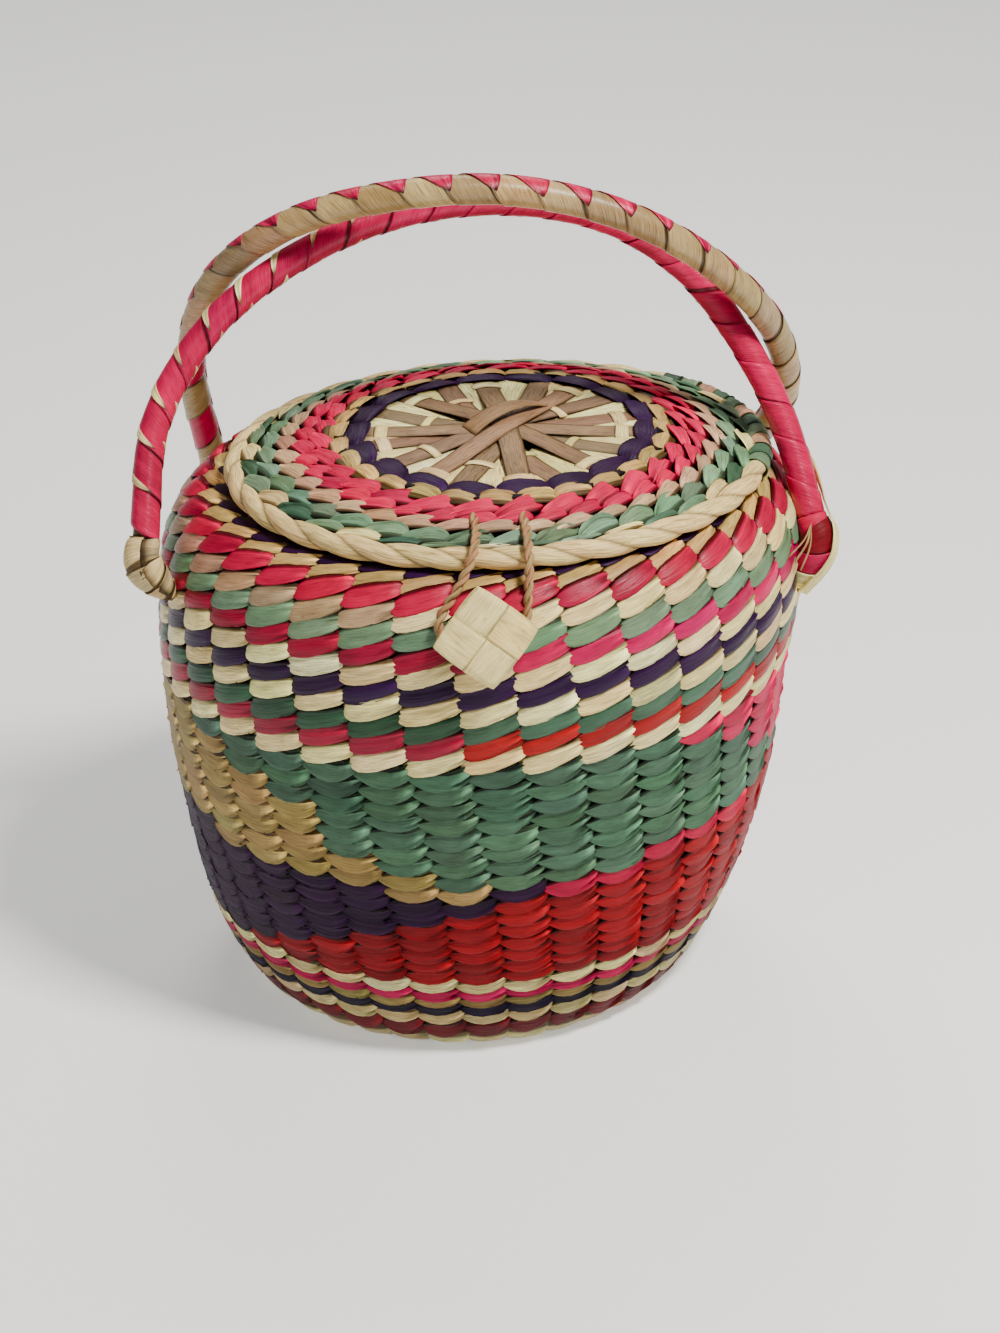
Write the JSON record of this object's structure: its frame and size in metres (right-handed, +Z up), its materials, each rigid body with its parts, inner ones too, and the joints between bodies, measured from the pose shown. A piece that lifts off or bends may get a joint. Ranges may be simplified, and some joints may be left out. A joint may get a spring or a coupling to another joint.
{
  "type": "basket bag",
  "caption": "Oval twined palm basket bag with striped ribbed walls, a domed lid with a rope rim, arched wound handles and a plaited button held by a cord loop.",
  "frame": {"origin": "middle of the whole bag's footprint, on the surface it stands on", "axes": "+Z up, +X along the bag's width, the button faces -Y"},
  "size_m": [0.2626, 0.219, 0.3216],
  "materials": {
    "body_palm": "twined palm leaf dyed in stripes, satin",
    "lid_palm": "twined palm leaf dyed in rings, satin",
    "rope_palm": "two-ply cream palm rope, satin",
    "strip_palm": "undyed tan palm strip, satin",
    "red_handle_palm": "wound red palm strips, satin sheen",
    "natural_handle_palm": "wound undyed palm strips, satin sheen",
    "lashing_palm": "wound cream palm strips, satin",
    "cord_palm": "twisted palm cord, matte",
    "button_palm": "plaited undyed palm strips, satin"
  },
  "bodies": {
    "root": {"body_wall": "body_palm", "lid_panel": "lid_palm", "lid_rim": "rope_palm", "lid_center_strip": "strip_palm", "lid_back_tie": "strip_palm", "handle_front": "red_handle_palm", "handle_back": "natural_handle_palm", "lashing_front_left": "lashing_palm", "lashing_front_right": "lashing_palm", "lashing_back_left": "lashing_palm", "lashing_back_right": "lashing_palm", "closure_loop": "cord_palm", "closure_button": "button_palm", "button_stem": "cord_palm"}
  },
  "joints": []
}
